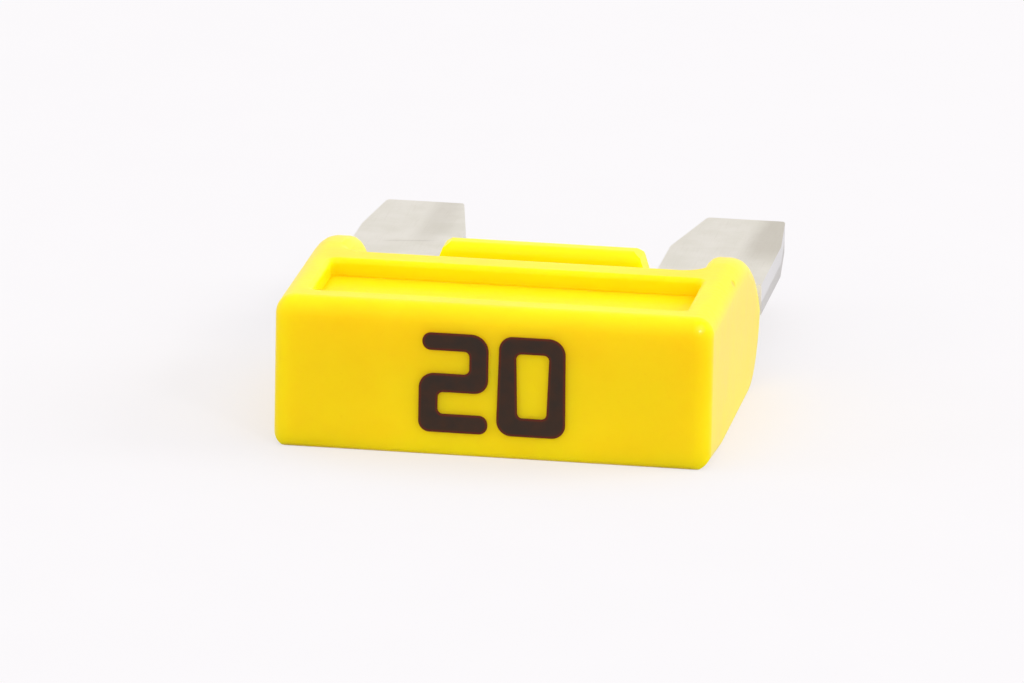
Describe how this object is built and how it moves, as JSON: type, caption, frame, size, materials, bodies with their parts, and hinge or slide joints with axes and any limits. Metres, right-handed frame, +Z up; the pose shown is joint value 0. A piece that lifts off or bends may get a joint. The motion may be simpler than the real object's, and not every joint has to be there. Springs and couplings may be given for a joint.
{
  "type": "miniature automotive blade fuse",
  "caption": "Miniature automotive blade fuse in yellow moulded plastic with two flat zinc blades, lying on a broad side",
  "frame": {"origin": "centre of the bounding box in plan, on the floor under the lower broad side", "axes": "+X across the two blades, +Y from the head face towards the blade tips, +Z up through the thickness"},
  "size_m": [0.011, 0.0162, 0.0038],
  "materials": {
    "yellow_plastic": "smooth moulded, semi-gloss",
    "zinc": "stamped zinc alloy, satin tinned surface",
    "dark_print": "hot-stamped dark brown print"
  },
  "bodies": {
    "root": {"housing": "yellow_plastic", "fuse_element": "zinc"}
  },
  "joints": []
}
